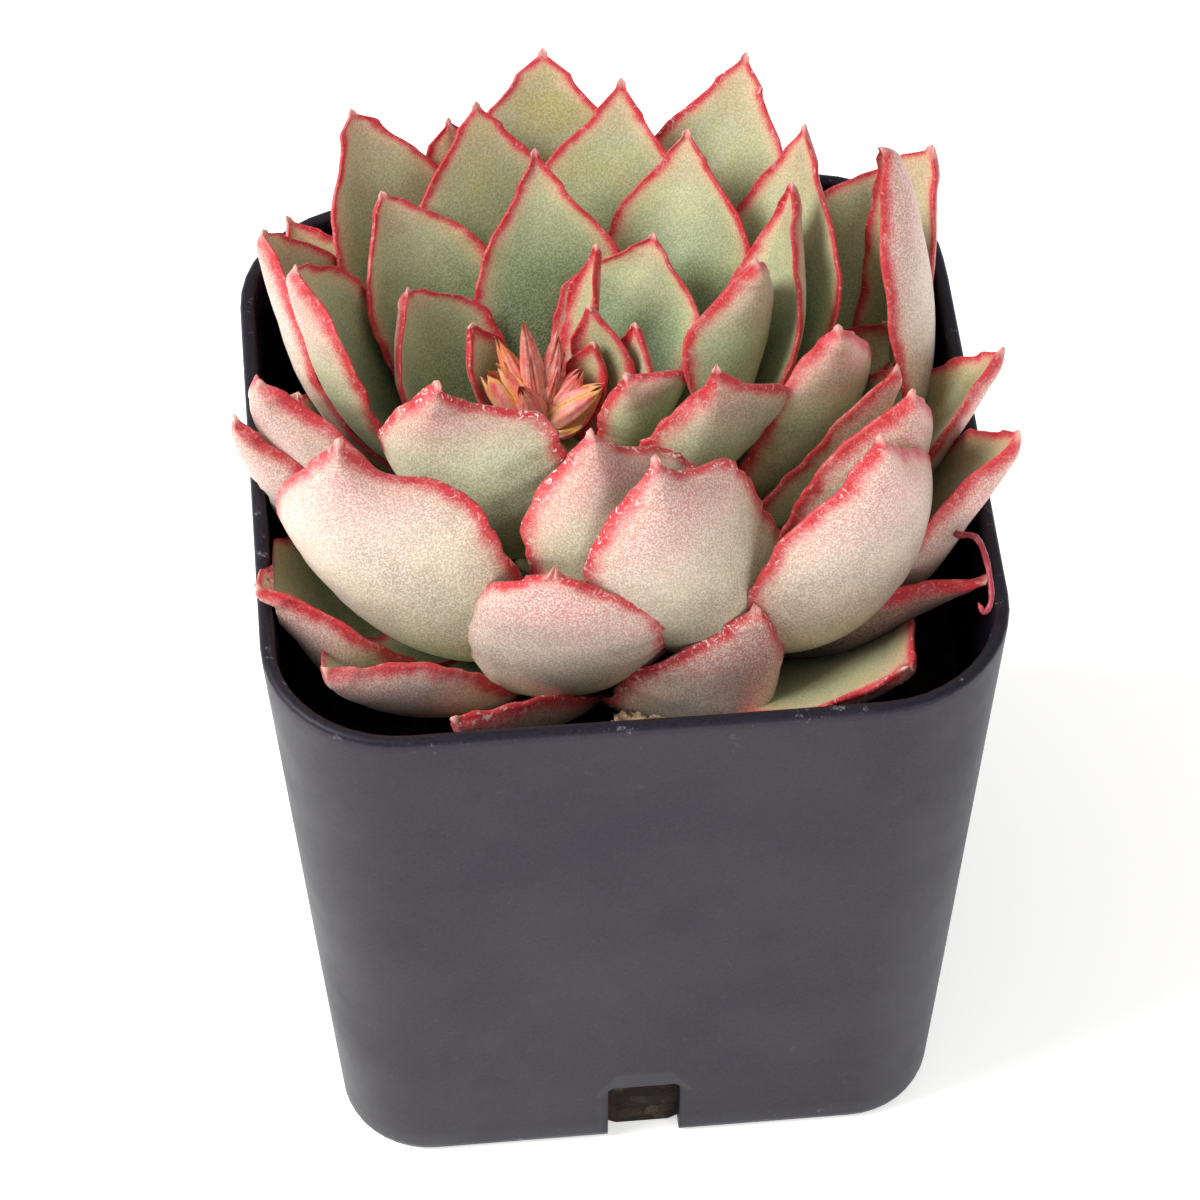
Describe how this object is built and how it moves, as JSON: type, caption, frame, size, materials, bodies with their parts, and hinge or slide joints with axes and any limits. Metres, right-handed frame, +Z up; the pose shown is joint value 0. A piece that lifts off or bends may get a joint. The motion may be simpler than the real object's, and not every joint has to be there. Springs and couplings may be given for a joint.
{
  "type": "potted rosette succulent",
  "caption": "Rosette succulent with fleshy red-edged leaves and a heart of flower buds, rooted in a small tapered square nursery pot.",
  "frame": {"origin": "centre of the pot's flat underside", "axes": "+Z up, +Y to the back, +X to the right when the pot is seen from its front"},
  "size_m": [0.0594, 0.0619, 0.076],
  "materials": {
    "pot": "matte charcoal black moulded plastic, scuffed at the rim",
    "soil": "damp dark brown potting mix with bark crumbs and fibres",
    "stem": "matte green-brown stem",
    "leaf": "fleshy, powdery sage green above, cream to pink below, crimson margins and tip",
    "heart_leaf": "young leaves, green with broad crimson margins",
    "bud": "waxy coral red flower buds, yellow inside",
    "aerial_root": "thin pink-red root",
    "dried_leaf": "dry, papery, beige"
  },
  "bodies": {
    "root": {"pot": "pot", "soil": "soil", "stem": "stem", "bud_1": "bud", "bud_2": "bud", "bud_3": "bud", "bud_4": "bud", "bud_5": "bud", "bud_6": "bud", "bud_7": "bud", "outer_leaf_1": "leaf", "outer_leaf_2": "leaf", "outer_leaf_3": "leaf", "outer_leaf_4": "leaf", "outer_leaf_5": "leaf", "outer_leaf_6": "leaf", "outer_leaf_7": "leaf", "outer_leaf_8": "leaf", "outer_leaf_9": "leaf", "outer_leaf_10": "leaf", "outer_leaf_11": "leaf", "outer_leaf_12": "leaf", "outer_leaf_13": "leaf", "outer_leaf_14": "leaf", "outer_leaf_15": "leaf", "outer_leaf_16": "leaf", "middle_leaf_1": "leaf", "middle_leaf_2": "leaf", "middle_leaf_3": "leaf", "middle_leaf_4": "leaf", "middle_leaf_5": "leaf", "middle_leaf_6": "leaf", "middle_leaf_7": "leaf", "middle_leaf_8": "leaf", "middle_leaf_9": "leaf", "middle_leaf_10": "leaf", "middle_leaf_11": "leaf", "middle_leaf_12": "leaf", "middle_leaf_13": "leaf", "middle_leaf_14": "leaf", "inner_leaf_1": "leaf", "inner_leaf_2": "leaf", "inner_leaf_3": "leaf", "inner_leaf_4": "leaf", "inner_leaf_5": "leaf", "inner_leaf_6": "leaf", "inner_leaf_7": "leaf", "inner_leaf_8": "leaf", "inner_leaf_9": "leaf", "inner_leaf_10": "leaf", "inner_leaf_11": "leaf", "inner_leaf_12": "leaf", "heart_leaf_1": "heart_leaf", "heart_leaf_2": "heart_leaf", "heart_leaf_3": "heart_leaf", "heart_leaf_4": "heart_leaf", "heart_leaf_5": "heart_leaf", "heart_leaf_6": "heart_leaf", "aerial_root": "aerial_root", "dried_leaf": "dried_leaf"}
  },
  "joints": []
}
